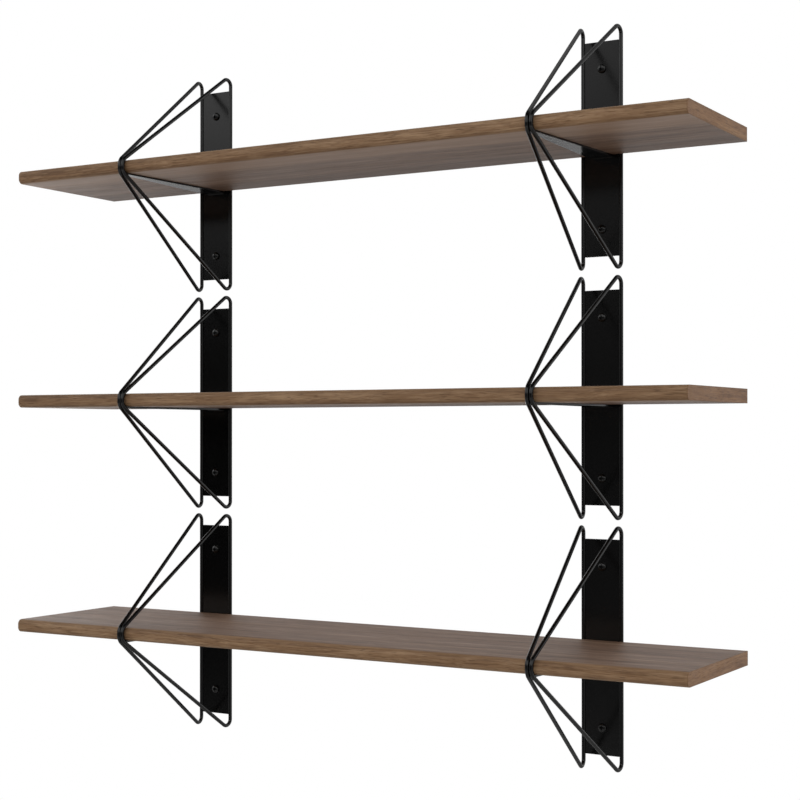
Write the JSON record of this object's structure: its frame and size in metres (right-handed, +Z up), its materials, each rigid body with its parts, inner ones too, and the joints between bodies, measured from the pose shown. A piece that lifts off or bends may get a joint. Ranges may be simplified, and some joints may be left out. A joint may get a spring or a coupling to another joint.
{
  "type": "wall shelf",
  "caption": "Wooden wall shelves in tiers, held on steel back plates by bent wire triangles that meet in front of each board.",
  "frame": {"origin": "on the wall plane, level with the mid-plane of the middle board and halfway along it", "axes": "+X along the boards, +Y into the wall, -Y towards the room, +Z up"},
  "size_m": [1.07, 0.264, 1.0148],
  "materials": {
    "walnut": "satin lacquered walnut, grain along the board",
    "black_powder_coat": "satin black powder coat",
    "screw_black": "black coated screw"
  },
  "bodies": {
    "root": {"back_plate_lower_left": "black_powder_coat", "back_plate_lower_right": "black_powder_coat", "back_plate_middle_left": "black_powder_coat", "back_plate_middle_right": "black_powder_coat", "back_plate_upper_left": "black_powder_coat", "back_plate_upper_right": "black_powder_coat", "board_lower": "walnut", "board_middle": "walnut", "board_screw_lower_left": "screw_black", "board_screw_lower_right": "screw_black", "board_screw_middle_left": "screw_black", "board_screw_middle_right": "screw_black", "board_screw_upper_left": "screw_black", "board_screw_upper_right": "screw_black", "board_upper": "walnut", "support_plate_lower_left": "black_powder_coat", "support_plate_lower_right": "black_powder_coat", "support_plate_middle_left": "black_powder_coat", "support_plate_middle_right": "black_powder_coat", "support_plate_upper_left": "black_powder_coat", "support_plate_upper_right": "black_powder_coat", "wall_screw_lower_left_bottom": "screw_black", "wall_screw_lower_left_top": "screw_black", "wall_screw_lower_right_bottom": "screw_black", "wall_screw_lower_right_top": "screw_black", "wall_screw_middle_left_bottom": "screw_black", "wall_screw_middle_left_top": "screw_black", "wall_screw_middle_right_bottom": "screw_black", "wall_screw_middle_right_top": "screw_black", "wall_screw_upper_left_bottom": "screw_black", "wall_screw_upper_left_top": "screw_black", "wall_screw_upper_right_bottom": "screw_black", "wall_screw_upper_right_top": "screw_black", "wire_lower_left_left": "black_powder_coat", "wire_lower_left_right": "black_powder_coat", "wire_lower_right_left": "black_powder_coat", "wire_lower_right_right": "black_powder_coat", "wire_middle_left_left": "black_powder_coat", "wire_middle_left_right": "black_powder_coat", "wire_middle_right_left": "black_powder_coat", "wire_middle_right_right": "black_powder_coat", "wire_upper_left_left": "black_powder_coat", "wire_upper_left_right": "black_powder_coat", "wire_upper_right_left": "black_powder_coat", "wire_upper_right_right": "black_powder_coat"}
  },
  "joints": []
}
